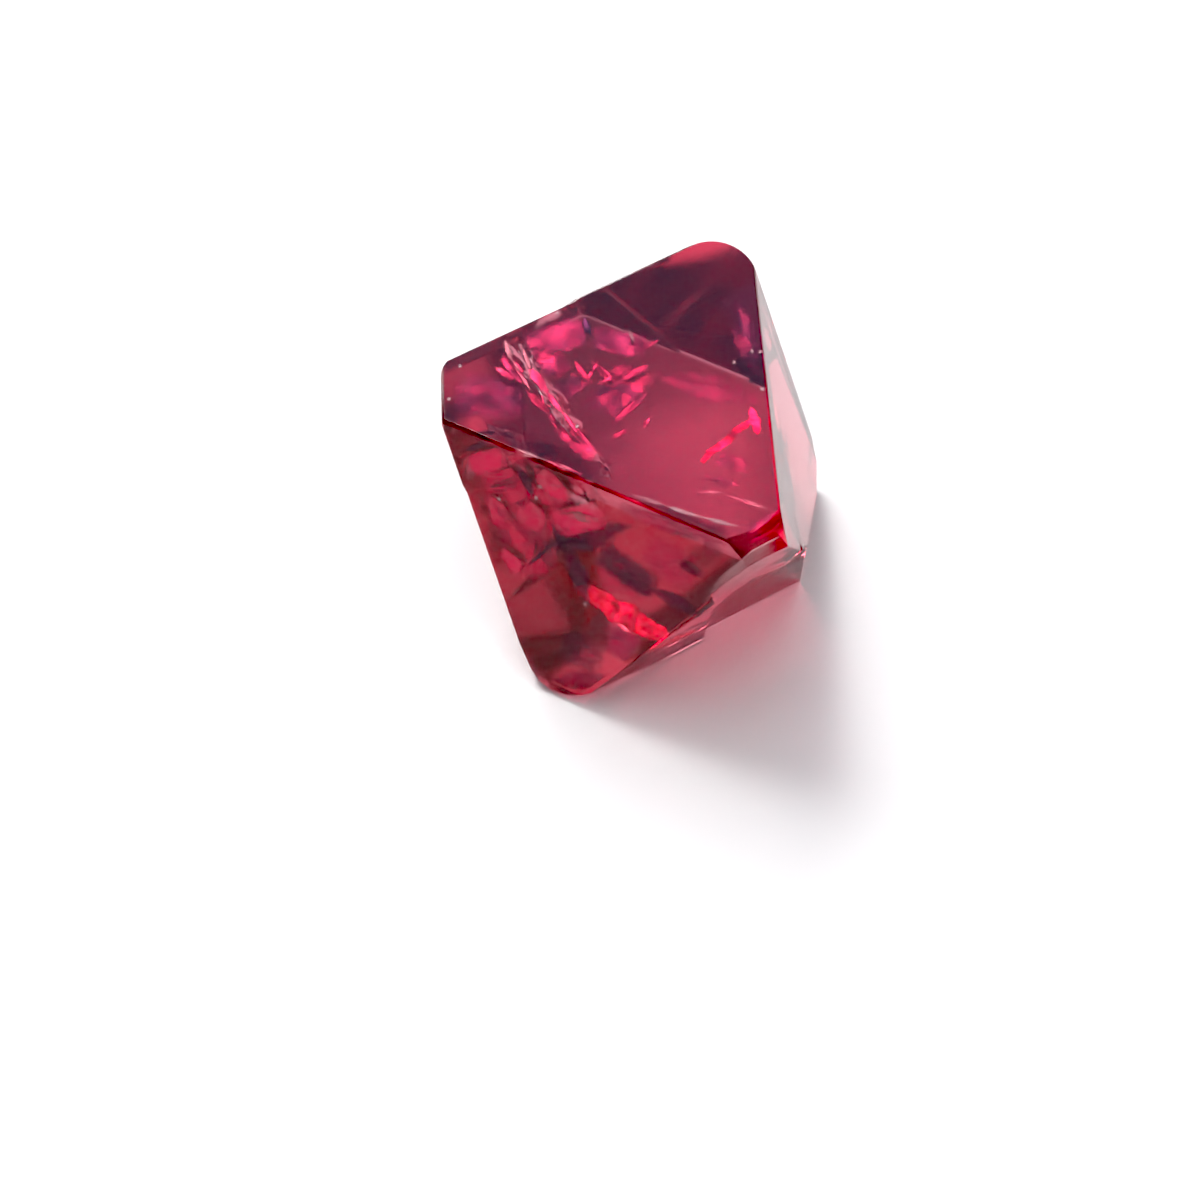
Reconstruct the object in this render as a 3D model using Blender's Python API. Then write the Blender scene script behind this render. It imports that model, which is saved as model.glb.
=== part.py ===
"""Loose crystal of red spinel: a malformed octahedron, lying on one of its flat faces.

The eight faces keep the angles of a true octahedron, because those are fixed by the
mineral, but each face stands at its own distance from the point where growth began.
Two opposite faces are level, so the crystal looks like a thick three-cornered tablet.
X is east, Y is north and Z is up; the longest front edge runs along X.
The origin is the middle of the footprint, on the surface that the crystal lies on.
"""
from itertools import combinations
from math import cos, radians, sin

import bmesh
import bpy
import numpy as np
from mathutils import Matrix, Vector

MM = 0.001
STOCK_SIZE = 30.0

# Octahedron faces: signs along the crystal's own axes, and distance from the growth point in mm
FACES = {
    "top": ((1, 1, 1), 2.36),
    "bottom": ((-1, -1, -1), 2.36),
    "front": ((-1, 1, 1), 3.32),
    "back": ((1, -1, -1), 3.38),
    "right": ((1, -1, 1), 3.02),
    "left": ((-1, 1, -1), 2.86),
    "back_left": ((1, 1, -1), 3.03),
    "lower_right": ((-1, -1, 1), 3.64),
}
# One face grew slightly out of true: it leans this many degrees further down
LEANS = {"lower_right": 1.9}

# Corners: axis, the face whose outline the wear rounds, radius in mm, steps across and down
CORNERS = {
    "south": ((-1, 0, 0), "front", 0.12, 3, (0.25, 0.5)),
    "north": ((1, 0, 0), "top", 0.12, 3, (0.25, 0.5)),
    "west": ((0, 1, 0), "top", 0.12, 3, (0.0, 0.5)),
    "south_east": ((0, 0, 1), "top", 0.12, 3, (0.0, 0.5)),
    "east": ((0, -1, 0), "right", 0.30, 5, (0.0, 0.5)),
    "north_west": ((0, 0, -1), "bottom", 0.50, 5, (0.0, 0.5)),
}

# Three corners are rounded like a pebble about one leaning axis: centre in mm from the growth
# point, radius in mm, and the angles about the axis in degrees where the round starts and ends
WEAR_AXIS = (-0.253, 0.531, -0.809)
ROUNDED_CORNERS = {
    "south": ((0.66, -3.91, -1.11), 0.97, 63.0, 155.0),
    "north": ((0.12, 2.82, 2.36), 0.90, -113.0, -24.0),
    "west": ((-2.86, -1.57, 2.36), 0.58, 184.0, 240.0),
}
ROUND_STEP = 6.0

# Edge wear radii in mm: most edges are crisp, a few are rubbed
EDGE_RADIUS = 0.07
RUBBED_EDGES = {
    frozenset(("back_left", "left")): 0.60,
    frozenset(("right", "lower_right")): 0.16,
    frozenset(("top", "front")): 0.09,
}
EDGE_STEPS = (-0.5, 0.0, 0.5)

# Flats broken and worn on the corners: azimuth and slope in degrees, distance in mm
BROKEN_FLATS = (
    (34.0, 12.0, 3.40),
    (24.9, 4.6, 3.50),
    (16.2, -2.2, 3.58),
    (-41.0, 55.0, 4.265),
    (-24.0, 55.0, 4.27),
    (-6.0, 55.0, 4.096),
)

# Ledges, each the straight rim of a missing growth layer: face, depth in mm, the way the rim
# faces within the face in degrees, and its distance in mm from the middle of growth there
LEDGES = {
    "lower_right_ledge": ("lower_right", 0.15, 13.0, -0.55),
    "back_ledge": ("back", 0.06, -60.0, 1.35),
    "back_upper_ledge": ("back", 0.05, 180.0, 1.10),
    "left_ledge": ("left", 0.05, 0.0, 1.55),
    "back_left_ledge": ("back_left", 0.06, 60.0, 1.20),
}

# Chips: a point in mm below the chip, the way the chip faces, the radius in mm of its hollow's
# curve and how deep the hollow goes
CHIPS = {
    "notch_chip": ((3.60, -1.10, 0.80), (0.94, -0.12, 0.10), 0.16, 0.10),
    "shell_chip": ((3.20, -0.60, -0.35), (0.88, -0.34, 0.20), 1.10, 0.11),
    "shell_chip_step": ((3.20, -0.30, -0.95), (0.86, -0.40, -0.05), 0.55, 0.08),
    "foot_chip": ((2.20, -1.30, -2.05), (0.80, -0.46, -0.50), 0.50, 0.09),
    "back_edge_chip": ((-1.20, 2.80, 0.30), (-0.50, 0.86, 0.10), 0.70, 0.08),
    "back_edge_chip_step": ((-1.40, 2.70, -0.25), (-0.42, 0.90, 0.0), 0.40, 0.05),
    "west_chip": ((-3.00, 0.50, -0.40), (-0.98, 0.20, -0.10), 0.60, 0.06),
    "north_west_chip": ((-3.00, 2.20, -2.10), (-0.60, 0.50, -0.60), 0.45, 0.07),
}
BALL_SUBDIVISIONS = 4

# Growth pits, three-sided and shallow: face, level and uphill place on the face, radius in mm
PITS = (
    ("back", 0.70, 0.20, 0.27),
    ("back", -0.55, -0.60, 0.19),
    ("back", 0.05, 1.00, 0.14),
    ("back_left", -0.30, 0.25, 0.24),
    ("back_left", 0.55, -0.70, 0.16),
    ("left", 0.20, -0.35, 0.20),
    ("left", -0.70, 0.50, 0.14),
    ("right", -0.40, 1.30, 0.10),
)
# Depth of a pit as a share of its radius
PIT_DEPTH = 0.22

# Vertices closer than this in mm, left by two cuts at one corner, are made one
WELD = 0.002

SPINEL_RED = (0.46, 0.012, 0.045, 1.0)


def crystal_to_world():
    """Turn the crystal's axes so that the top face is level and its front edge runs along X."""
    east = np.array((0.0, -1.0, 1.0)) / np.sqrt(2.0)
    north = np.array((2.0, -1.0, -1.0)) / np.sqrt(6.0)
    up = np.array((1.0, 1.0, 1.0)) / np.sqrt(3.0)
    return np.array((east, north, up))


def direction(crystal_vector):
    """Unit direction in the world of a vector along the crystal's axes."""
    turned = crystal_to_world() @ np.array(crystal_vector, dtype=float)
    return turned / np.linalg.norm(turned)


def face_plane(name):
    """Outward normal and distance of one octahedron face."""
    signs, distance = FACES[name]
    normal = Vector(direction(signs))
    if name in LEANS:
        level = Vector((-normal.y, normal.x, 0.0)).normalized()
        normal = Matrix.Rotation(radians(LEANS[name]), 3, level) @ normal
    return np.array(normal), distance


def meeting_point(names, inset):
    """Where three faces would meet if each was moved inwards by the inset."""
    planes = [face_plane(name) for name in names]
    normals = np.array([normal for normal, distance in planes])
    distances = np.array([distance - inset for normal, distance in planes])
    return np.linalg.solve(normals, distances)


def rounding_plane(normal, names, radius):
    """Plane tangent to a ball of this radius that rolls in the corner or edge of the named faces."""
    reach = []
    for trio in combinations(names, 3):
        centre = meeting_point(trio, radius)
        others = [face_plane(name) for name in names if name not in trio]
        if all(n @ centre <= d - radius + 1e-6 for n, d in others):
            reach.append(normal @ centre + radius)
    return normal, max(reach)


def corner_planes(axis, kept, radius, steps, drops):
    """Fan of tangent planes that rounds one corner around the outline of the kept face."""
    axis = np.array(axis, dtype=float)
    side = np.array(FACES[kept][0], dtype=float) - axis
    one, other = [np.eye(3)[i] * side[i] for i in range(3) if side[i]]
    names = [name for name, (signs, distance) in FACES.items() if np.dot(signs, axis) > 0]
    planes = []
    for drop in drops:
        for step in range(1, steps + 1):
            across = 2.0 * step / (steps + 1) - 1.0
            lean = drop * (1.0 - abs(across))
            vector = axis + across * (one - other) - lean * (one + other)
            planes.append(rounding_plane(direction(vector), names, radius))
    return planes


def edge_planes(first, second, radius):
    """Tangent planes that round the edge between two faces."""
    signs_one = np.array(FACES[first][0], dtype=float)
    signs_two = np.array(FACES[second][0], dtype=float)
    normals = np.array((face_plane(first)[0], face_plane(second)[0]))
    distances = np.array((face_plane(first)[1] - radius, face_plane(second)[1] - radius))
    foot = np.linalg.lstsq(normals, distances, rcond=None)[0]
    planes = []
    for step in EDGE_STEPS:
        normal = direction(signs_one * (1.0 + step) + signs_two * (1.0 - step))
        planes.append((normal, normal @ foot + radius))
    return planes


def pebble_planes(centre, radius, first, last):
    """Tangent planes of a short round column about the wear axis."""
    axis = Vector(WEAR_AXIS).normalized()
    level = Vector((-axis.y, axis.x, 0.0)).normalized() * -1.0
    across = axis.cross(level)
    count = round((last - first) / ROUND_STEP)
    planes = []
    for step in range(count + 1):
        angle = radians(first + (last - first) * step / count)
        normal = level * cos(angle) + across * sin(angle)
        planes.append((np.array(normal), normal.dot(Vector(centre)) + radius))
    return planes


def all_planes():
    """Every flat that bounds the crystal before it was chipped."""
    planes = [face_plane(name) for name in FACES]
    for corner in ROUNDED_CORNERS.values():
        planes += pebble_planes(*corner)
    for axis, kept, radius, steps, drops in CORNERS.values():
        planes += corner_planes(axis, kept, radius, steps, drops)
    for first, second in combinations(FACES, 2):
        if np.dot(FACES[first][0], FACES[second][0]) > 0:
            radius = RUBBED_EDGES.get(frozenset((first, second)), EDGE_RADIUS)
            planes += edge_planes(first, second, radius)
    for azimuth, slope, distance in BROKEN_FLATS:
        level = cos(radians(slope))
        normal = (level * cos(radians(azimuth)), level * sin(radians(azimuth)), sin(radians(slope)))
        planes.append((np.array(normal), distance))
    return planes


def clip(bm, normal, distance):
    """Cut away what lies beyond a plane and close the cut with one flat face."""
    normal = Vector(normal)
    parts = bm.verts[:] + bm.edges[:] + bm.faces[:]
    cut = bmesh.ops.bisect_plane(
        bm, geom=parts, dist=1e-5, plane_co=normal * distance, plane_no=normal, clear_outer=True
    )
    rim = [part for part in cut["geom_cut"] if isinstance(part, bmesh.types.BMEdge)]
    if len(rim) > 2:
        bmesh.ops.edgeloop_fill(bm, edges=rim)


def new_object(name, bm, material=None):
    """Store a mesh that was modelled in millimetres as an object in metres."""
    bmesh.ops.scale(bm, vec=(MM, MM, MM), verts=bm.verts)
    bmesh.ops.recalc_face_normals(bm, faces=bm.faces)
    mesh = bpy.data.meshes.new(name)
    bm.to_mesh(mesh)
    bm.free()
    if material:
        mesh.materials.append(material)
    piece = bpy.data.objects.new(name, mesh)
    bpy.context.scene.collection.objects.link(piece)
    return piece


def spinel_material():
    """Clear red spinel: see-through, with its colour and its refraction."""
    material = bpy.data.materials.new("red_spinel")
    material.use_nodes = True
    shader = material.node_tree.nodes["Principled BSDF"]
    shader.inputs["Base Color"].default_value = SPINEL_RED
    shader.inputs["Roughness"].default_value = 0.04
    shader.inputs["Metallic"].default_value = 0.0
    shader.inputs["IOR"].default_value = 1.718
    shader.inputs["Transmission Weight"].default_value = 1.0
    material.diffuse_color = SPINEL_RED
    return material


def grown_crystal(material):
    """The whole crystal before chips: a block of stock cut back plane by plane."""
    bm = bmesh.new()
    bmesh.ops.create_cube(bm, size=STOCK_SIZE)
    for normal, distance in all_planes():
        clip(bm, normal, distance)
    bmesh.ops.remove_doubles(bm, verts=bm.verts, dist=WELD)
    bmesh.ops.dissolve_degenerate(bm, edges=bm.edges, dist=WELD / 2)
    return new_object("spinel_crystal", bm, material)


def face_frame(name):
    """Turn and place that lay a shape on a face: its X runs level, its Y uphill, its Z outwards."""
    normal, distance = face_plane(name)
    normal = Vector(normal)
    level = Vector((-normal.y, normal.x, 0.0)).normalized()
    uphill = normal.cross(level)
    turn = Matrix((level, uphill, normal)).transposed().to_4x4()
    return Matrix.Translation(normal * distance) @ turn


def as_cutter(piece):
    """Hide a shape that only cuts the crystal."""
    piece.hide_render = True
    piece.display_type = "WIRE"
    return piece


def ledge_cutter(name, face, depth, azimuth, start):
    """Block that takes one growth layer off a face beyond a straight ledge."""
    bm = bmesh.new()
    bmesh.ops.create_cube(bm, size=STOCK_SIZE)
    bmesh.ops.translate(bm, verts=bm.verts, vec=(STOCK_SIZE / 2 + start, 0.0, STOCK_SIZE / 2))
    turn = Matrix.Rotation(radians(azimuth), 4, "Z")
    sink = Matrix.Translation((0.0, 0.0, -depth))
    bmesh.ops.transform(bm, verts=bm.verts, matrix=face_frame(face) @ sink @ turn)
    return as_cutter(new_object(name, bm))


def surface_distance(start, facing):
    """How far the unchipped surface is from an inner point, the way that a direction points."""
    crossings = []
    for normal, distance in all_planes():
        slope = normal @ facing
        if slope > 0.0:
            crossings.append((distance - normal @ start) / slope)
    return min(crossings)


def chip_cutter(name, start, facing, curve, depth):
    """Ball that leaves a shell-shaped hollow where a flake has broken away."""
    start = np.array(start)
    facing = np.array(Vector(facing).normalized())
    centre = start + facing * (surface_distance(start, facing) + curve - depth)
    bm = bmesh.new()
    bmesh.ops.create_icosphere(bm, subdivisions=BALL_SUBDIVISIONS, radius=curve)
    bmesh.ops.translate(bm, verts=bm.verts, vec=centre)
    return as_cutter(new_object(name, bm))


def pit_cutter(name, face, level, uphill, radius):
    """Three-sided point, half sunk in a face, that leaves a shallow growth pit."""
    bm = bmesh.new()
    height = 2.0 * PIT_DEPTH * radius
    bmesh.ops.create_cone(
        bm, cap_ends=True, segments=3, radius1=0.0, radius2=2.0 * radius, depth=height
    )
    place = Matrix.Translation((level, uphill, 0.0)) @ Matrix.Rotation(radians(90.0), 4, "Z")
    bmesh.ops.transform(bm, verts=bm.verts, matrix=face_frame(face) @ place)
    return as_cutter(new_object(name, bm))


def cutters():
    """All ledges, chips and pits, in the order that they are cut."""
    tools = [ledge_cutter(name, *values) for name, values in LEDGES.items()]
    tools += [chip_cutter(name, *values) for name, values in CHIPS.items()]
    tools += [pit_cutter(f"pit_{number}", *values) for number, values in enumerate(PITS)]
    return tools


def set_on_its_footprint(pieces, crystal):
    """Move everything so that the origin is the middle of the footprint box, at the lowest point."""
    corners = np.array([vertex.co for vertex in crystal.data.vertices])
    low, high = corners.min(axis=0), corners.max(axis=0)
    middle = (low + high) / 2
    shift = Matrix.Translation((-middle[0], -middle[1], -low[2]))
    for piece in pieces:
        piece.data.transform(shift)


def main():
    for old in list(bpy.data.objects):
        bpy.data.objects.remove(old)
    crystal = grown_crystal(spinel_material())
    tools = cutters()
    set_on_its_footprint([crystal] + tools, crystal)
    for tool in tools:
        cut = crystal.modifiers.new(tool.name, "BOOLEAN")
        cut.operation = "DIFFERENCE"
        cut.solver = "EXACT"
        cut.object = tool


main()
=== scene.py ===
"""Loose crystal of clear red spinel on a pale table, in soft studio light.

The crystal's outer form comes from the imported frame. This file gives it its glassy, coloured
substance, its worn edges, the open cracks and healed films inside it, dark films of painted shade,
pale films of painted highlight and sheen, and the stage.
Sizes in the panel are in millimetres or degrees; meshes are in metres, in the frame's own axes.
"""

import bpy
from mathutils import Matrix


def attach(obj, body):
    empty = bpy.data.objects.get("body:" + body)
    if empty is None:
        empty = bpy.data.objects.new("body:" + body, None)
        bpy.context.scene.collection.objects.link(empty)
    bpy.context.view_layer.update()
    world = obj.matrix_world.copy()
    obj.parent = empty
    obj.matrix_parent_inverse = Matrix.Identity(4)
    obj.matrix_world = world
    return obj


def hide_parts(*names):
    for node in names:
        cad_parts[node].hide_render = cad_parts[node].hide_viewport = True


bl_info = {
    "name": "Red spinel crystal",
    "version": (1, 0, 0),
    "blender": (4, 5, 0),
    "location": "View3D > Sidebar > Spinel",
    "description": "Builds a clear red spinel octahedron with its inner fractures, and its stage",
    "category": "Object",
}

from math import cos, pi, radians, sin, sqrt
from typing import NamedTuple

import bmesh
import bpy
from bpy.props import FloatProperty, FloatVectorProperty, PointerProperty
from mathutils import Matrix, Vector, noise

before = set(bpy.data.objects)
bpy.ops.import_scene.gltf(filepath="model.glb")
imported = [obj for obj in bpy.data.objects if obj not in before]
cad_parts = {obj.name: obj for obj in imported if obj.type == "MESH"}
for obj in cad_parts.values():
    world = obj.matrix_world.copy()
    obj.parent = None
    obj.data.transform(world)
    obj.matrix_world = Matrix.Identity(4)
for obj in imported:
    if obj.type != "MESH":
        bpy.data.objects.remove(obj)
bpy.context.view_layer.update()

MM = 0.001
NODE = "spinel_crystal"
BODY = "root"

# The point where growth began, in mm in the frame's axes: places on the crystal are given from it
GROWTH_POINT = Vector((-0.2942, 0.0411, 2.36))


class SpinelCrystalSettings(bpy.types.PropertyGroup):
    """Substance and surface of the crystal."""

    ior: FloatProperty(name="Refractive index", description="Spinel bends light by this", default=1.718)
    depth_colour: FloatVectorProperty(
        name="Depth colour",
        description="What is left of white light after one unit of depth",
        subtype="COLOR",
        default=(0.86, 0.40, 0.50),
    )
    depth_density: FloatProperty(
        name="Depth of colour", description="How fast the colour deepens, per metre", default=500.0
    )
    polish: FloatProperty(
        name="Roughness", description="Roughness of the clean growth faces", default=0.07
    )
    weld: FloatProperty(
        name="Weld", description="Vertices closer than this are one, in mm", default=0.002
    )
    wear: FloatProperty(name="Edge wear", description="Width of the worn edges, in mm", default=0.05)
    worn_length: FloatProperty(
        name="Shortest worn edge", description="Shorter edges stay as they are, in mm", default=0.5
    )
    worn_angle: FloatProperty(
        name="Sharp angle", description="Sharper edges than this are worn", subtype="ANGLE",
        default=radians(35.0),
    )
    soft_angle: FloatProperty(
        name="Soft angle",
        description="Facets that meet at less than this are shaded as one round surface",
        subtype="ANGLE",
        default=radians(22.0),
    )


class SpinelStageSettings(bpy.types.PropertyGroup):
    """Table, light and camera."""

    table_colour: FloatVectorProperty(
        name="Table colour", description="Pale table", subtype="COLOR", default=(0.86, 0.86, 0.86)
    )
    table_radius: FloatProperty(name="Table radius", description="In mm", default=900.0)
    table_gap: FloatProperty(
        name="Air film", description="Thin air film under the crystal, in mm", default=0.02
    )
    sky_strength: FloatProperty(name="Studio light", description="Strength of the white dome", default=1.0)
    lens: FloatProperty(name="Lens", description="Focal length in mm on a 36 mm frame", default=90.0)
    elevation: FloatProperty(
        name="Height", description="How steeply the camera looks down", subtype="ANGLE",
        default=radians(53.99),
    )
    turn: FloatProperty(
        name="Turn", description="How far the camera looks left of north", subtype="ANGLE",
        default=radians(25.52),
    )
    roll: FloatProperty(
        name="Roll", description="Tilt of the camera", subtype="ANGLE", default=radians(2.19)
    )


class Value:
    """A shader socket that takes part in Python sums."""

    def __init__(self, graph, socket):
        self.graph = graph
        self.socket = socket

    def math(self, operation, *others):
        return self.graph.add("ShaderNodeMath", [self, *others], operation=operation)

    def __add__(self, other):
        return self.math("ADD", other)

    def __radd__(self, other):
        return self.math("ADD", other)

    def __sub__(self, other):
        return self.math("SUBTRACT", other)

    def __rsub__(self, other):
        return self.graph.add("ShaderNodeMath", [other, self], operation="SUBTRACT")

    def __mul__(self, other):
        return self.math("MULTIPLY", other)

    def __rmul__(self, other):
        return self.math("MULTIPLY", other)


class Graph:
    """A node tree that is written as Python expressions."""

    def __init__(self, tree):
        self.tree = tree
        tree.nodes.clear()

    def fill(self, socket, value):
        """Link a value to a socket, or set it there."""
        if isinstance(value, Value):
            self.tree.links.new(value.socket, socket)
        elif hasattr(socket.default_value, "__len__") and len(value) < len(socket.default_value):
            socket.default_value = (*value, 1.0)
        else:
            socket.default_value = value

    def node(self, kind, inputs=(), **settings):
        """Any node: its settings are set first, then its sockets by name or in order."""
        made = self.tree.nodes.new(kind)
        for name, setting in settings.items():
            setattr(made, name, setting)
        pairs = inputs.items() if isinstance(inputs, dict) else enumerate(inputs)
        for name, value in pairs:
            self.fill(made.inputs[name], value)
        return made

    def add(self, kind, inputs=(), output=0, **settings):
        """The chosen output of a new node, ready for sums."""
        return Value(self, self.node(kind, inputs, **settings).outputs[output])

    def blend(self, factor, low, high):
        """Colour between two others."""
        made = self.node("ShaderNodeMix", {0: factor}, data_type="RGBA")
        self.fill(made.inputs[6], low)
        self.fill(made.inputs[7], high)
        return Value(self, made.outputs[2])

    def between(self, value, low, high):
        """Smooth step of a value from 0 at low to 1 at high."""
        sockets = {"Value": value, "From Min": low, "From Max": high}
        return self.add("ShaderNodeMapRange", sockets, interpolation_type="SMOOTHSTEP")

    def dot(self, vector, direction):
        """How far a direction points along a fixed one, from -1 to 1."""
        unit = Vector(direction).normalized()
        made = self.node("ShaderNodeVectorMath", [vector, unit], operation="DOT_PRODUCT")
        return Value(self, made.outputs["Value"])


# Scales of the noise and cells in the materials, per metre
CLOUD_SCALE = 900.0
GRAIN_SCALE = 6000.0
STREAK_SCALE = 7000.0
WISP_SCALE = 4500.0
BEND_SCALE = 3000.0
PATCH_SCALE = 3200.0
PAPER_SCALE = 700.0

# How far the outlines of patches are bent, in metres
BEND_LENGTH = 0.00012

# Tints of the crystal's surface
CLEAN_TINT = (1.0, 0.97, 0.98)
CLOUDY_TINT = (1.0, 0.88, 0.91)

# Colours of the bright films, then of the healed ones: the dark colour is painted shade, and the pale
# one also paints highlight and sheen
BRIGHT_RED = (0.80, 0.005, 0.06)
BRIGHT_PINK = (1.0, 0.04, 0.19)
PAINTED_SHADE_FILM = (0.07, 0.013, 0.042)
RED_FILM = (0.76, 0.03, 0.11)
PALE_FILM = (1.0, 0.75, 0.75)

# What the table's grain leaves of its colour
PAPER_SHADE = 0.985


def spinel_material(settings):
    """Clear red spinel: colour by depth, bright polish and faint growth relief."""
    material = bpy.data.materials.new("red_spinel")
    material.use_nodes = True
    graph = Graph(material.node_tree)
    place = graph.add("ShaderNodeTexCoord", output="Object")
    cloud = graph.add("ShaderNodeTexNoise", {"Vector": place, "Scale": CLOUD_SCALE, "Detail": 4.0})
    grain = graph.add("ShaderNodeTexNoise", {"Vector": place, "Scale": GRAIN_SCALE, "Detail": 3.0})
    tint = graph.blend(graph.between(cloud, 0.35, 0.7), CLEAN_TINT, CLOUDY_TINT)
    rough = settings.polish + 0.03 * graph.between(cloud, 0.55, 0.8) + 0.02 * grain
    relief = graph.add(
        "ShaderNodeBump", {"Strength": 0.05, "Distance": 0.00002, "Height": cloud}, output="Normal"
    )
    shader = graph.add(
        "ShaderNodeBsdfPrincipled",
        {
            "Base Color": tint,
            "Roughness": rough,
            "IOR": settings.ior,
            "Transmission Weight": 1.0,
            "Normal": relief,
        },
    )
    depth = graph.add(
        "ShaderNodeVolumeAbsorption",
        {"Color": settings.depth_colour, "Density": settings.depth_density},
    )
    graph.node("ShaderNodeOutputMaterial", {"Surface": shader, "Volume": depth})
    return material


# Facets that meet at less than this are one flat
FLAT_WITHIN = radians(0.3)


def crystal_mesh(settings):
    """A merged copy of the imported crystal, with its flats whole again."""
    bm = bmesh.new()
    bm.from_mesh(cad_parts[NODE].data)
    bmesh.ops.remove_doubles(bm, verts=bm.verts, dist=settings.weld * MM)
    bmesh.ops.dissolve_limit(bm, angle_limit=FLAT_WITHIN, verts=bm.verts, edges=bm.edges)
    return bm


class Fracture(NamedTuple):
    """A crumpled crack in the crystal: places in mm from the growth point, sizes in mm.

    crumple is how far it leaves its plane, wrinkle how long its creases are, ragged how uneven
    its outline is, meander how far it wanders sideways, and cell how fine its mesh is.
    """

    middle: tuple
    along: tuple
    facing: tuple
    length: float
    width: float
    crumple: float
    wrinkle: float
    seed: int
    ragged: float = 0.45
    meander: float = 0.0
    cell: float = 0.05


# How far apart in the noise two sheets lie, so that they differ
NOISE_STEP = Vector((7.3, 3.1, 1.7))

# How far a crack stands open, in mm
CRACK_GAP = 0.012

# Open cracks, with air in them
FRACTURES = (
    Fracture((-1.20, -0.95, 1.15), (0.83, -0.55, 0.0), (0.51, 0.77, 0.32), 3.9, 2.6, 0.15, 0.9, 3),
    Fracture((-2.00, -0.35, 1.25), (0.70, -0.70, 0.1), (0.25, 0.95, 0.25), 1.3, 0.8, 0.08, 0.6, 4),
    Fracture((-1.70, -2.05, 0.75), (0.6, 0.2, -0.6), (0.60, 0.70, 0.35), 1.3, 0.9, 0.09, 0.5, 21),
)

# Facings that mirror the lamp to the camera, seen through the top and through the front
LAMP_BY_TOP = (-0.085, -0.037, 0.996)
LAMP_BY_FRONT = (-0.097, -0.317, 0.943)

# Bright films on cracks: the long stroke in the top, its hook, and the glint in the front
MIRRORS = (
    Fracture(
        (1.80, 0.14, 0.50), (0.23, 0.97, 0.0), LAMP_BY_TOP, 1.55, 0.22, 0.012, 0.5, 5, 0.3, 0.07, 0.03
    ),
    Fracture(
        (2.06, 0.80, 0.50), (0.6, -0.8, 0.0), LAMP_BY_TOP, 0.75, 0.2, 0.012, 0.5, 3, 0.3, 0.05, 0.03
    ),
    Fracture(
        (1.40, -2.40, -0.95), (1.7, -0.07, -0.21), LAMP_BY_FRONT, 2.6, 0.62, 0.014, 0.5, 6, 0.35, 0.12, 0.03
    ),
)


class Film(NamedTuple):
    """A film that lies level with the face through which it is seen: a healed film on a flat crack,
    or a film of painted shade, painted highlight or painted sheen.

    start and end are its ends in the picture, in pixels of 1200 x 1200. width is how wide it
    looks and depth how far the sight runs in the crystal before it meets the film, both in mm.
    tone runs from 0 for dark over 1 for pink to 2 for chalky white, cover is how much it hides
    and patchy is how much its tone differs from patch to patch.
    """

    start: tuple
    end: tuple
    width: float
    depth: float
    tone: float
    cover: float
    patchy: float


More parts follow.
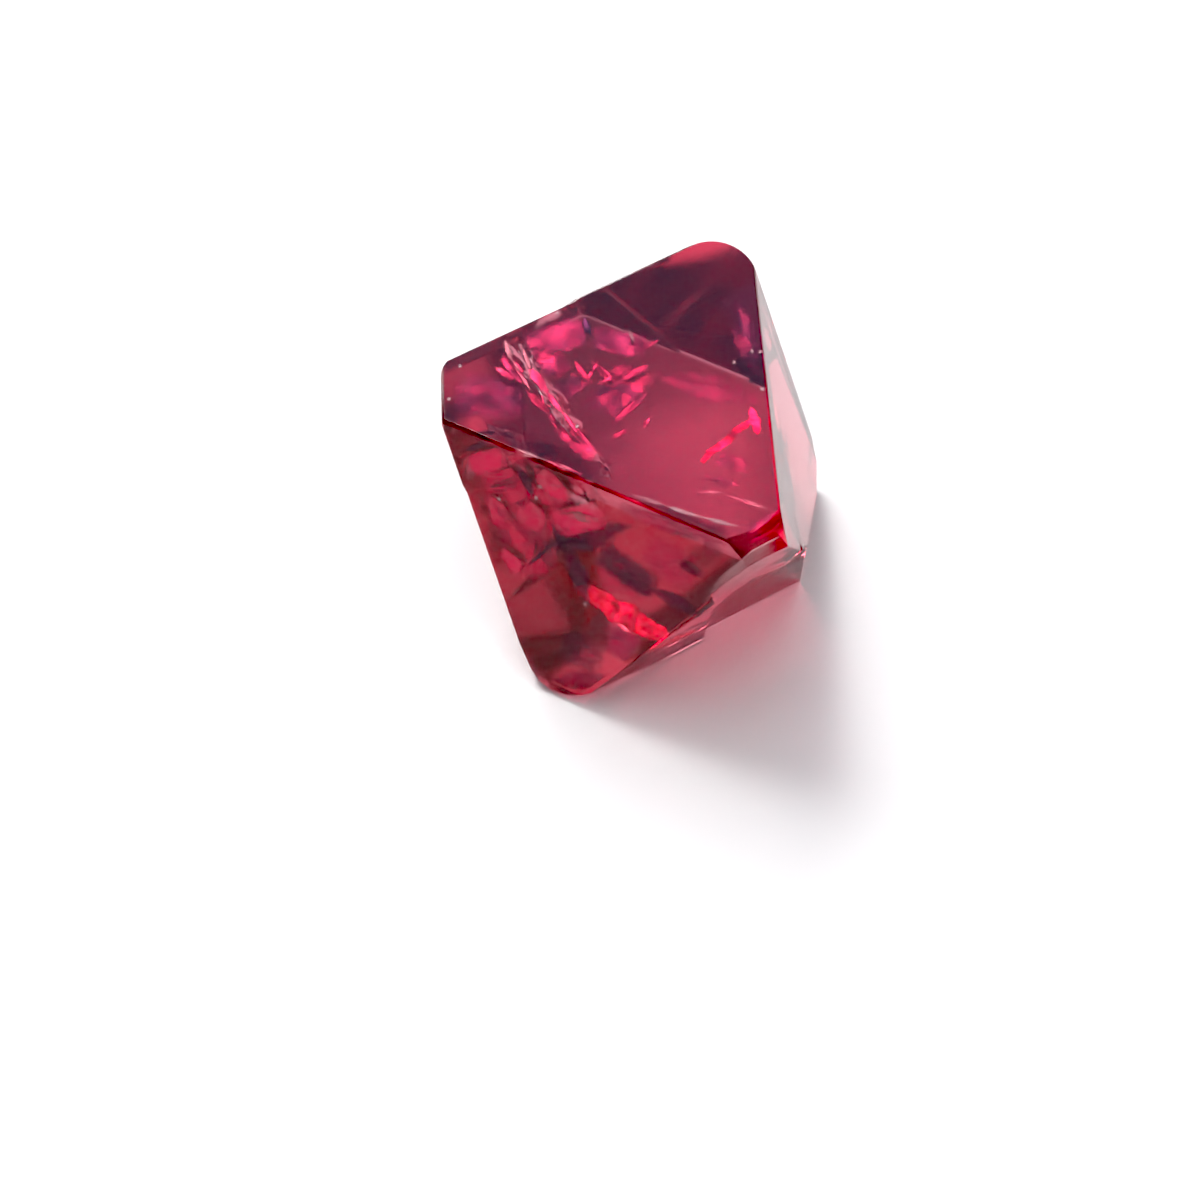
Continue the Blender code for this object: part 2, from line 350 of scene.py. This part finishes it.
# Films seen through the front face
FRONT_FILMS = (
    # dark bands of painted shade: dark films where the crystal mirrors dim places, and dull red ones
    # that cover a bright spot
    Film((536, 548), (640, 524), 0.72, 0.50, 0.1, 0.62, 0.3),
    Film((564, 536), (592, 612), 0.50, 0.50, 0.12, 0.6, 0.3),
    Film((592, 545), (660, 596), 0.64, 0.50, 0.1, 0.62, 0.3),
    Film((640, 582), (710, 619), 0.36, 0.50, 0.1, 0.6, 0.3),
    Film((688, 618), (736, 597), 0.38, 0.50, 0.1, 0.6, 0.3),
    Film((556, 642), (606, 662), 0.84, 0.50, 0.18, 0.38, 0.3),
    Film((540, 684), (622, 678), 0.52, 0.40, 0.42, 0.6, 0.2),
    Film((606, 634), (640, 654), 0.68, 0.40, 0.46, 0.92, 0.2),
    Film((516, 461), (536, 502), 0.24, 0.40, 0.05, 0.65, 0.2),
    Film((462, 452), (492, 440), 0.16, 0.40, 0.1, 0.6, 0.2),
    Film((525, 568), (552, 545), 0.10, 0.45, 0.05, 0.6, 0.2),
    Film((552, 520), (566, 556), 0.24, 0.48, 0.05, 0.5, 0.2),
    # red and pink patches
    Film((626, 653), (662, 645), 0.08, 0.35, 1.35, 0.6, 0.2),
    Film((552, 526), (606, 513), 0.68, 0.45, 0.95, 0.9, 0.3),
    Film((560, 513), (604, 522), 0.20, 0.42, 1.3, 0.8, 0.2),
    Film((464, 468), (510, 455), 0.56, 0.45, 0.92, 0.85, 0.3),
    Film((538, 470), (568, 504), 0.44, 0.45, 1.0, 0.85, 0.4),
    Film((498, 551), (522, 571), 0.36, 0.45, 1.05, 0.8, 0.2),
    Film((480, 500), (508, 522), 0.52, 0.50, 0.9, 0.6, 0.6),
    Film((518, 505), (546, 527), 0.52, 0.50, 0.9, 0.6, 0.6),
    Film((492, 480), (516, 470), 0.28, 0.50, 0.85, 0.6, 0.5),
    Film((478, 491), (514, 486), 0.06, 0.55, 0.9, 0.6, 0.2),
    Film((476, 500), (515, 497), 0.06, 0.55, 0.85, 0.55, 0.2),
    Film((480, 513), (512, 508), 0.08, 0.55, 1.0, 0.6, 0.2),
    Film((520, 512), (556, 508), 0.08, 0.55, 0.9, 0.55, 0.2),
    Film((522, 520), (532, 514), 0.16, 0.55, 1.0, 0.6, 0.2),
    Film((527, 566), (536, 540), 0.12, 0.55, 0.75, 0.5, 0.2),
    Film((530, 470), (548, 480), 0.28, 0.62, 0.7, 0.6, 0.4),
    Film((606, 502), (738, 548), 0.48, 0.30, 0.46, 0.5, 0.15),
    Film((640, 545), (700, 582), 0.88, 0.62, 0.62, 0.5, 0.15),
    Film((590, 575), (660, 590), 0.60, 0.62, 0.62, 0.45, 0.15),
    Film((678, 562), (706, 578), 0.24, 0.55, 0.2, 0.45, 0.1),
    Film((700, 545), (722, 552), 0.40, 0.60, 0.35, 0.3, 0.1),
    # mottled sheets
    Film((456, 462), (600, 516), 1.84, 0.70, 0.8, 0.55, 0.7),
    Film((478, 535), (560, 556), 1.32, 0.70, 0.66, 0.5, 0.6),
)

# Films seen through the top face
TOP_FILMS = (
    # patches and strokes
    Film((524, 346), (592, 326), 0.80, 0.40, 0.44, 0.85, 0.2),
    Film((586, 334), (650, 350), 0.56, 0.40, 0.44, 0.7, 0.25),
    Film((536, 370), (570, 358), 0.52, 0.45, 0.5, 0.6, 0.5),
    Film((552, 380), (573, 365), 0.16, 0.60, 0.7, 0.75, 0.3),
    Film((574, 360), (589, 383), 0.18, 0.60, 0.75, 0.75, 0.3),
    Film((590, 360), (619, 386), 0.22, 0.60, 0.62, 0.6, 0.4),
    Film((586, 382), (598, 361), 0.12, 0.60, 0.7, 0.7, 0.3),
    Film((600, 383), (624, 371), 0.14, 0.60, 0.64, 0.65, 0.3),
    Film((626, 355), (662, 339), 0.18, 0.60, 0.6, 0.55, 0.2),
    Film((618, 381), (650, 365), 0.22, 0.60, 0.66, 0.65, 0.4),
    Film((652, 389), (606, 429), 0.20, 0.60, 0.58, 0.6, 0.2),
    Film((610, 439), (630, 428), 0.14, 0.60, 0.8, 0.6, 0.2),
    Film((642, 429), (651, 416), 0.12, 0.60, 0.9, 0.6, 0.2),
    Film((596, 416), (644, 362), 0.92, 0.75, 0.46, 0.5, 0.5),
    Film((556, 396), (590, 372), 0.48, 0.75, 0.42, 0.4, 0.5),
    Film((560, 424), (596, 460), 0.44, 0.45, 0.74, 0.7, 0.3),
    Film((524, 388), (552, 416), 0.22, 0.50, 0.85, 0.75, 0.3),
    Film((546, 408), (578, 444), 0.30, 0.50, 0.64, 0.6, 0.3),
    Film((446, 396), (532, 396), 1.04, 0.55, 0.32, 0.38, 0.2),
    Film((737, 296), (757, 380), 0.68, 0.50, 0.3, 0.35, 0.3),
    Film((650, 372), (768, 404), 0.68, 0.60, 0.52, 0.28, 0.2),
    Film((583, 314), (591, 338), 0.18, 0.25, 0.05, 0.8, 0.1),
    Film((712, 455), (754, 470), 0.40, 0.60, 0.62, 0.35, 0.5),
    Film((696, 476), (744, 486), 0.28, 0.60, 0.6, 0.3, 0.5),
    # bright blades of the long veil
    Film((504, 338), (513, 364), 0.16, 0.20, 1.38, 0.9, 0.1),
    Film((510, 356), (532, 393), 0.10, 0.20, 1.25, 0.85, 0.1),
    Film((522, 345), (532, 374), 0.12, 0.20, 1.4, 0.9, 0.1),
    Film((527, 364), (549, 396), 0.30, 0.25, 0.85, 0.75, 0.4),
    Film((543, 386), (564, 416), 0.16, 0.25, 0.82, 0.7, 0.3),
    Film((500, 350), (528, 388), 0.34, 0.35, 0.66, 0.65, 0.5),
    Film((493, 366), (515, 380), 0.18, 0.30, 0.95, 0.6, 0.6),
    Film((556, 405), (592, 448), 0.14, 0.30, 0.85, 0.5, 0.2),
    Film((629, 329), (634, 343), 0.08, 0.20, 1.6, 0.9, 0.1),
    # faint pale curves
    Film((686, 491), (730, 493), 0.10, 0.12, 1.25, 0.35, 0.1),
    Film((720, 493), (776, 511), 0.12, 0.12, 1.25, 0.35, 0.1),
    # whitish wear along the long front edge, with a painted highlight where the rounded edge mirrors the
    # lamp
    Film((452, 429), (474, 436), 0.10, 0.10, 1.5, 0.8, 0.2),
    Film((468, 434), (507, 447), 0.08, 0.10, 1.3, 0.6, 0.2),
    Film((498, 444), (550, 461), 0.10, 0.10, 1.5, 0.75, 0.2),
    Film((544, 459), (584, 475), 0.12, 0.10, 1.2, 0.5, 0.2),
    Film((630, 494), (670, 507), 0.10, 0.07, 1.4, 0.6, 0.2),
    Film((662, 505), (708, 519), 0.10, 0.06, 1.7, 0.8, 0.2),
    Film((698, 516), (740, 527), 0.10, 0.06, 1.6, 0.7, 0.2),
    # worn red corner
    Film((744, 538), (784, 514), 0.40, 0.10, 0.62, 0.5, 0.2),
)

# Painted grey sheen on the lower right face: a pale film under it stands in for the face's
# reflection of the table
LOWER_RIGHT_PAINTED_SHEEN = (
    Film((722, 580), (782, 548), 0.76, 0.22, 1.75, 0.45, 0.1),
)

# Tiny pale grains just under the surface: their places in the picture
FRONT_SPECKS = (
    (499, 499), (540, 487), (693, 616), (710, 616), (478, 521), (585, 604), (536, 498),
)
TOP_SPECKS = (
    (734, 362), (752, 351), (760, 352), (762, 389), (449, 399), (460, 366), (577, 426),
    (557, 313),
)


class Face(NamedTuple):
    """A face of the crystal, its distance from the growth point in mm and what shows through it."""

    outward: tuple
    distance: float
    films: tuple
    specks: tuple


FACES = (
    Face((0.0, -0.943, 0.333), 3.32, FRONT_FILMS, FRONT_SPECKS),
    Face((0.0, 0.0, 1.0), 2.36, TOP_FILMS, TOP_SPECKS),
    Face((0.816, -0.471, -0.333), 3.6, LOWER_RIGHT_PAINTED_SHEEN, ()),
)

# The picture's width in pixels and the camera sensor's in mm
PICTURE = 1200
SENSOR = 36.0

# What one pixel of the picture is on the crystal, in mm
PIXEL = 0.02

# The camera's place in mm from the point where growth began
CAMERA_PLACE = (15.336, -33.602, 45.977)


def camera_turn(settings):
    """The camera's turn from looking straight down with north at the top."""
    spin = Matrix.Rotation(settings.turn, 4, "Z")
    dip = Matrix.Rotation(pi / 2 - settings.elevation, 4, "X")
    roll = Matrix.Rotation(settings.roll, 4, "Z")
    return spin @ dip @ roll


class Sight:
    """The camera's sight into the crystal through one of its faces, which bends it."""

    def __init__(self, scene, face):
        self.turn = camera_turn(scene.spinel_stage).to_3x3()
        self.lens = scene.spinel_stage.lens
        self.ior = scene.spinel_crystal.ior
        self.outward = Vector(face.outward).normalized()
        self.distance = face.distance

    def enter(self, pixel):
        """Where the sight to a place in the picture enters the face, and how it runs on."""
        right = (pixel[0] / PICTURE - 0.5) * SENSOR
        up = (0.5 - pixel[1] / PICTURE) * SENSOR
        way = (self.turn @ Vector((right, up, -self.lens))).normalized()
        eye = Vector(CAMERA_PLACE)
        entry = eye + way * ((self.distance - eye.dot(self.outward)) / way.dot(self.outward))
        across = (way - way.dot(self.outward) * self.outward) / self.ior
        return entry, across - sqrt(1.0 - across.length_squared) * self.outward

    def meet(self, pixel, depth):
        """The point that shows at a place in the picture, at a depth square to the face."""
        entry, way = self.enter(pixel)
        return entry - way * (depth / way.dot(self.outward))

    def lay(self, film):
        """A film's middle and run in mm from the growth point, its length and its width."""
        start, end = Vector(film.start), Vector(film.end)
        centre = (start + end) / 2
        aside = (end - start).orthogonal().normalized() * film.width / PIXEL / 2
        depth = -film.depth * self.enter(centre)[1].dot(self.outward)
        first, last = self.meet(start, depth), self.meet(end, depth)
        along = (last - first).normalized()
        across = self.outward.cross(along)
        sides = self.meet(centre + aside, depth) - self.meet(centre - aside, depth)
        return (first + last) / 2, along, (last - first).length, abs(sides.dot(across))


def crumpled_sheet(
    fracture, reach=0.9, outline_noise=1.8, fine_crease=2.3, fine_share=0.3, mean_crease=0.3, bends=3.0
):
    """Ragged, crumpled sheet about the plane z = 0."""
    bm = bmesh.new()
    bmesh.ops.create_grid(
        bm,
        x_segments=round(fracture.length / fracture.cell),
        y_segments=round(fracture.width / fracture.cell),
        size=0.5,
    )
    bmesh.ops.scale(bm, verts=bm.verts, vec=(fracture.length, fracture.width, 1.0))
    shift = NOISE_STEP * fracture.seed
    outside = []
    for face in bm.faces:
        place = face.calc_center_median()
        spread = Vector((2.0 * place.x / fracture.length, 2.0 * place.y / fracture.width)).length
        edge = reach + fracture.ragged * noise.noise(place * outline_noise + shift)
        if spread > edge:
            outside.append(face)
    bmesh.ops.delete(bm, geom=outside, context="FACES")
    for vert in bm.verts:
        place = vert.co / fracture.wrinkle + shift
        crease = abs(noise.noise(place)) + fine_share * abs(noise.noise(place * fine_crease))
        wander = noise.noise(Vector((vert.co.x * bends, 0.0, 0.0)) + shift)
        vert.co.z = 2.0 * fracture.crumple * (crease - mean_crease)
        vert.co.y += fracture.meander * wander
    return bm


def large_flats(settings, least_area=0.6e-6):
    """A point and the outward direction of each large flat of the crystal."""
    bm = crystal_mesh(settings)
    large = [face for face in bm.faces if face.calc_area() > least_area]
    flats = [(face.calc_center_median(), face.normal.copy()) for face in large]
    bm.free()
    return flats


# How far under the surface a crack or film ends, in mm
SKIN = 0.04


def resting_place(middle, along, facing):
    """Matrix that takes a sheet about z = 0 in mm to its place in the crystal."""
    along = Vector(along).normalized()
    facing = Vector(facing)
    facing = (facing - facing.dot(along) * along).normalized()
    turn = Matrix((along, facing.cross(along), facing)).transposed()
    place = Matrix.Translation((Vector(middle) + GROWTH_POINT) * MM)
    return place @ turn.to_4x4() @ Matrix.Scale(MM, 4)


def laid_sheet(bm, place, flats, gap):
    """A sheet made thick by a gap and laid in its place, cut off just under the surface."""
    bmesh.ops.transform(bm, matrix=place, verts=bm.verts)
    for point, outward in flats:
        geom = [*bm.verts, *bm.edges, *bm.faces]
        bmesh.ops.bisect_plane(
            bm, geom=geom, plane_co=point - SKIN * MM * outward, plane_no=outward, clear_outer=True
        )
    bmesh.ops.solidify(bm, geom=bm.faces, thickness=gap * MM)
    bmesh.ops.recalc_face_normals(bm, faces=bm.faces)
    return bm


def laid_crack(fracture, flats):
    """A crumpled crack in its place."""
    place = resting_place(fracture.middle, fracture.along, fracture.facing)
    return laid_sheet(crumpled_sheet(fracture), place, flats, CRACK_GAP)


def pour(source, target):
    """Add one bmesh to another."""
    shell = bpy.data.meshes.new("shell")
    source.to_mesh(shell)
    source.free()
    target.from_mesh(shell)
    bpy.data.meshes.remove(shell)


def add_void(crystal, flats, fracture):
    """Open a crack inside the crystal: a thin hollow with its own walls."""
    bm = laid_crack(fracture, flats)
    bmesh.ops.reverse_faces(bm, faces=bm.faces)
    pour(bm, crystal)


def wear_edges(bm, settings):
    """Round the long sharp edges a little."""
    worn = [
        edge
        for edge in bm.edges
        if edge.calc_length() > settings.worn_length * MM
        and edge.calc_face_angle(0.0) > settings.worn_angle
        and max(vert.co.z for vert in edge.verts) > settings.worn_length * MM
    ]
    bmesh.ops.bevel(
        bm,
        geom=worn,
        offset=settings.wear * MM,
        affect="EDGES",
        segments=3,
        profile=0.5,
        clamp_overlap=True,
        material=-1,
    )


def film_material():
    """Thin bright red film in old cracks, which mirrors the lamp."""
    material = bpy.data.materials.new("crack_film")
    material.use_nodes = True
    graph = Graph(material.node_tree)
    place = graph.add("ShaderNodeTexCoord", output="Object")
    streak = graph.add("ShaderNodeTexNoise", {"Vector": place, "Scale": STREAK_SCALE, "Detail": 3.0})
    colour = graph.blend(graph.between(streak, 0.35, 0.65), BRIGHT_RED, BRIGHT_PINK)
    relief = graph.add(
        "ShaderNodeBump", {"Strength": 0.25, "Distance": 0.00001, "Height": streak}, output="Normal"
    )
    shader = graph.add(
        "ShaderNodeBsdfPrincipled",
        {"Base Color": colour, "Metallic": 1.0, "Roughness": 0.2 + 0.15 * streak, "Normal": relief},
    )
    graph.node("ShaderNodeOutputMaterial", {"Surface": shader})
    return material


# What the healed films' vertices tell their material
FILM_LAYERS = ("fade", "tone", "cover", "patchy")

# Films narrower than this share of their length are blades with pointed ends, others are patches:
# the powers say how square the outline is
BLADE_WIDTH = 0.38
BLADE_POWER = 1.3
PATCH_POWER = 4.0

# A film has at least this many cells across its width
FEWEST_CELLS = 4

# How thick a healed film is, and how wide and how deep a speck is, in mm
FILM_GAP = 0.006
SPECK_SIZE = 0.08
SPECK_DEPTH = 0.05


def healed_shade_and_sheen_material():
    """Soft-edged films with patches and wisps in them: red and pale films of healed cracks, dark films
    of painted shade, and pale films of painted highlight and sheen.
    """
    material = bpy.data.materials.new("healed_films_shade_and_sheen")
    material.use_nodes = True
    graph = Graph(material.node_tree)
    place = graph.add("ShaderNodeTexCoord", output="Object")
    fade, tone, cover, patchy = (
        graph.add("ShaderNodeAttribute", output="Fac", attribute_name=name) for name in FILM_LAYERS
    )
    wisp = graph.add("ShaderNodeTexNoise", {"Vector": place, "Scale": WISP_SCALE, "Detail": 5.0})
    noisy = {"Vector": place, "Scale": BEND_SCALE, "Detail": 2.0}
    bend = graph.add("ShaderNodeTexNoise", noisy, output="Color")
    bent = graph.add("ShaderNodeVectorMath", {0: bend, "Scale": BEND_LENGTH}, operation="SCALE")
    moved = graph.add("ShaderNodeVectorMath", [place, bent], operation="ADD")
    patch = graph.add("ShaderNodeTexVoronoi", {"Vector": moved, "Scale": PATCH_SCALE}, output="Color")
    depth = tone + patchy * (graph.dot(patch, (1.0, 0.0, 0.0)) - 0.5) + 0.5 * (wisp - 0.5)
    # The dark end of the tones is painted shade
    red = graph.blend(graph.between(depth, 0.0, 1.0), PAINTED_SHADE_FILM, RED_FILM)
    colour = graph.blend(graph.between(depth, 1.0, 2.0), red, PALE_FILM)
    chalky = graph.between(depth, 1.1, 1.7)
    rough = 0.2 + 0.15 * wisp + 0.4 * chalky
    alpha = cover * graph.between(fade + 0.7 * (wisp - 0.5), 0.0, 0.5)
    shader = graph.add(
        "ShaderNodeBsdfPrincipled",
        {"Base Color": colour, "Metallic": 1.0 - chalky, "Roughness": rough, "Alpha": alpha},
    )
    graph.node("ShaderNodeOutputMaterial", {"Surface": shader})
    return material


def film_sheet(film, middle, length, width, crumple=0.008, waves=3.0, largest_cell=0.06):
    """Flat sheet about z = 0 whose layers say how it fades to its edge and how it looks."""
    cell = min(largest_cell, width / FEWEST_CELLS)
    bm = bmesh.new()
    across = max(FEWEST_CELLS, round(width / cell))
    bmesh.ops.create_grid(bm, x_segments=round(length / cell), y_segments=across, size=0.5)
    power = BLADE_POWER if width < BLADE_WIDTH * length else PATCH_POWER
    layers = [bm.verts.layers.float.new(name) for name in FILM_LAYERS]
    shift = middle * NOISE_STEP.x
    for vert in bm.verts:
        spread = ((2.0 * abs(vert.co.x)) ** power + (2.0 * abs(vert.co.y)) ** power) ** (1.0 / power)
        values = (max(0.0, 1.0 - spread), film.tone, film.cover, film.patchy)
        for layer, value in zip(layers, values):
            vert[layer] = value
        vert.co.z = 2.0 * crumple * noise.noise(vert.co * waves + shift)
    bmesh.ops.scale(bm, verts=bm.verts, vec=(length, width, 1.0))
    return bm


def speck(pixel):
    """A tiny pale film at a place in the picture."""
    half = SPECK_SIZE / PIXEL / 2
    start, end = (pixel[0] - half, pixel[1]), (pixel[0] + half, pixel[1])
    return Film(start, end, SPECK_SIZE, SPECK_DEPTH, tone=1.9, cover=1.0, patchy=0.0)


def finished(name, bm, material):
    """Turn a modelled shape into a smooth-shaded object with its material."""
    mesh = bpy.data.meshes.new(name)
    bm.to_mesh(mesh)
    bm.free()
    mesh.shade_smooth()
    mesh.materials.append(material)
    piece = bpy.data.objects.new(name, mesh)
    bpy.context.scene.collection.objects.link(piece)
    return piece


class SPINEL_OT_films(bpy.types.Operator):
    """Healed films, films of painted shade, highlight and sheen, and tiny pale specks inside the crystal"""

    bl_idname = "spinel.films"
    bl_label = "Healed films"

    def execute(self, context):
        flats = large_flats(context.scene.spinel_crystal)
        bm = bmesh.new()
        for face in FACES:
            sight = Sight(context.scene, face)
            for film in (*face.films, *map(speck, face.specks)):
                middle, along, length, width = sight.lay(film)
                place = resting_place(middle, along, face.outward)
                sheet = film_sheet(film, middle, length, width)
                pour(laid_sheet(sheet, place, flats, FILM_GAP), bm)
        piece = finished("healed_films_shade_and_sheen", bm, healed_shade_and_sheen_material())
        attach(piece, BODY)
        return {"FINISHED"}


class SPINEL_OT_mirrors(bpy.types.Operator):
    """Bright films on old cracks inside the crystal"""

    bl_idname = "spinel.mirrors"
    bl_label = "Bright films"

    def execute(self, context):
        settings = context.scene.spinel_crystal
        flats = large_flats(settings)
        bm = bmesh.new()
        for fracture in MIRRORS:
            pour(laid_crack(fracture, flats), bm)
        piece = finished("crack_films", bm, film_material())
        piece.data.set_sharp_from_angle(angle=settings.soft_angle)
        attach(piece, BODY)
        return {"FINISHED"}


class SPINEL_OT_crystal(bpy.types.Operator):
    """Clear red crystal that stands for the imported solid"""

    bl_idname = "spinel.crystal"
    bl_label = "Crystal"

    def execute(self, context):
        settings = context.scene.spinel_crystal
        bm = crystal_mesh(settings)
        flats = large_flats(settings)
        wear_edges(bm, settings)
        for fracture in FRACTURES:
            add_void(bm, flats, fracture)
        piece = finished("clear_crystal", bm, spinel_material(settings))
        piece.data.set_sharp_from_angle(angle=settings.soft_angle)
        weigh = piece.modifiers.new("flat faces stay flat", "WEIGHTED_NORMAL")
        weigh.keep_sharp = True
        weigh.weight = 100
        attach(piece, BODY)
        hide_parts(NODE)
        return {"FINISHED"}


def table_material(settings):
    """Smooth pale table top with a trace of paper grain."""
    material = bpy.data.materials.new("pale_table")
    material.use_nodes = True
    graph = Graph(material.node_tree)
    place = graph.add("ShaderNodeTexCoord", output="Object")
    grain = graph.add("ShaderNodeTexNoise", {"Vector": place, "Scale": PAPER_SCALE, "Detail": 5.0})
    white = settings.table_colour
    shade = tuple(PAPER_SHADE * channel for channel in white)
    colour = graph.blend(grain, shade, white)
    shader = graph.add("ShaderNodeBsdfPrincipled", {"Base Color": colour, "Roughness": 0.7})
    graph.node("ShaderNodeOutputMaterial", {"Surface": shader})
    return material


# Parts of the studio dome: azimuth east of north and height in degrees, size in degrees from
# its middle to where it starts and ends to fade, and the light that comes from there
DOME_PATCHES = (
    # soft light overhead
    (0.0, 90.0, 20.0, 52.0, (0.80, 0.80, 0.80)),
    # grey far wall
    (-4.0, 6.0, 12.0, 26.0, (0.42, 0.40, 0.44)),
    # grey and bright places on the right
    (94.0, 57.0, 8.0, 18.0, (0.90, 0.88, 0.90)),
    (87.0, 14.0, 6.0, 15.0, (1.90, 1.85, 1.86)),
    # bright place near the top of the dome
    (-40.0, 85.0, 8.0, 24.0, (2.4, 2.38, 2.36)),
    # bright, dark and grey places on the near side
    (-160.0, 55.0, 6.0, 14.0, (4.20, 4.14, 4.16)),
    (-162.0, 37.0, 8.0, 15.0, (0.20, 0.20, 0.32)),
    (-144.0, 64.0, 8.0, 18.0, (1.00, 0.98, 1.00)),
    # large lamp
    (-52.0, 47.0, 13.0, 23.0, (12.6, 12.5, 12.4)),
    # cool light that the top face mirrors to the camera
    (-25.0, 54.0, 8.0, 15.0, (1.12, 1.16, 1.42)),
)

# The light from the rest of the dome
DOME_COLOUR = (0.20, 0.20, 0.22)

# The pale backdrop, which only the camera sees
BACKDROP_COLOUR = (0.98, 0.98, 0.985)


def compass(azimuth, height):
    """Direction in the frame from an azimuth east of north and a height, in degrees."""
    level = cos(radians(height))
    return (level * sin(radians(azimuth)), level * cos(radians(azimuth)), sin(radians(height)))


def light_the_dome(settings):
    """White studio dome with a large lamp at the back left and the darker places of the room."""
    world = bpy.data.worlds.new("studio")
    world.use_nodes = True
    graph = Graph(world.node_tree)
    way = graph.add("ShaderNodeTexCoord", output="Generated")
    colour = DOME_COLOUR
    for azimuth, height, core, edge, shade in DOME_PATCHES:
        along = graph.dot(way, compass(azimuth, height))
        near = graph.between(along, cos(radians(edge)), cos(radians(core)))
        colour = graph.blend(near, colour, shade)
    seen = graph.add("ShaderNodeLightPath", output="Is Camera Ray")
    colour = graph.blend(seen, colour, BACKDROP_COLOUR)
    back = graph.add("ShaderNodeBackground", {"Color": colour, "Strength": settings.sky_strength})
    graph.node("ShaderNodeOutputWorld", {"Surface": back})
    bpy.context.scene.world = world


class SPINEL_OT_stage(bpy.types.Operator):
    """Pale table, soft studio dome and the camera"""

    bl_idname = "spinel.stage"
    bl_label = "Stage"

    def execute(self, context):
        settings = context.scene.spinel_stage
        bm = bmesh.new()
        bmesh.ops.create_circle(bm, cap_ends=True, segments=96, radius=settings.table_radius * MM)
        bmesh.ops.translate(bm, verts=bm.verts, vec=(0.0, 0.0, -settings.table_gap * MM))
        finished("table", bm, table_material(settings))
        light_the_dome(settings)
        aim_camera(context.scene, settings)
        set_film(context.scene)
        return {"FINISHED"}


def aim_camera(scene, settings):
    """Camera that looks down on the crystal from its front and a little from the right."""
    lens = bpy.data.cameras.new("camera")
    lens.lens = settings.lens
    lens.sensor_width = SENSOR
    lens.clip_start = 0.001
    camera = bpy.data.objects.new("camera", lens)
    scene.collection.objects.link(camera)
    place = Matrix.Translation((Vector(CAMERA_PLACE) + GROWTH_POINT) * MM)
    camera.matrix_world = place @ camera_turn(settings)
    scene.camera = camera


# Light this dim is black in the picture, as a small camera's contrast makes it
BLACK_LEVEL = 0.076


def set_film(scene):
    """Enough bounces for light to find its way through the crystal, and a plain bright picture."""
    scene.view_settings.view_transform = "Standard"
    scene.view_settings.use_curve_mapping = True
    scene.view_settings.curve_mapping.black_level = (BLACK_LEVEL, BLACK_LEVEL, BLACK_LEVEL)
    scene.cycles.max_bounces = 24
    scene.cycles.transmission_bounces = 24
    scene.cycles.glossy_bounces = 12
    scene.cycles.diffuse_bounces = 4
    scene.cycles.transparent_max_bounces = 24
    scene.cycles.caustics_reflective = True
    scene.cycles.caustics_refractive = True
    scene.cycles.blur_glossy = 0.2
    scene.cycles.sample_clamp_indirect = 12.0
    scene.cycles.use_denoising = True
    scene.cycles.denoising_input_passes = "RGB"


class SPINEL_PT_panel(bpy.types.Panel):
    """All the steps, in order"""

    bl_label = "Red spinel"
    bl_idname = "SPINEL_PT_panel"
    bl_space_type = "VIEW_3D"
    bl_region_type = "UI"
    bl_category = "Spinel"

    def draw(self, context):
        for step in STEPS:
            self.layout.operator(step.bl_idname)
        for group in GROUPS:
            settings = getattr(context.scene, group)
            for name in settings.bl_rna.properties.keys():
                if name not in ("rna_type", "name"):
                    self.layout.prop(settings, name)


GROUPS = {"spinel_crystal": SpinelCrystalSettings, "spinel_stage": SpinelStageSettings}
STEPS = (SPINEL_OT_stage, SPINEL_OT_crystal, SPINEL_OT_mirrors, SPINEL_OT_films)
CLASSES = (*GROUPS.values(), *STEPS, SPINEL_PT_panel)


def register():
    for made in CLASSES:
        bpy.utils.register_class(made)
    for name, group in GROUPS.items():
        setattr(bpy.types.Scene, name, PointerProperty(type=group))


def unregister():
    for name in GROUPS:
        delattr(bpy.types.Scene, name)
    for made in reversed(CLASSES):
        bpy.utils.unregister_class(made)


def main():
    register()
    bpy.ops.spinel.stage()
    bpy.ops.spinel.crystal()
    bpy.ops.spinel.mirrors()
    bpy.ops.spinel.films()


if __name__ == "__main__":
    main()
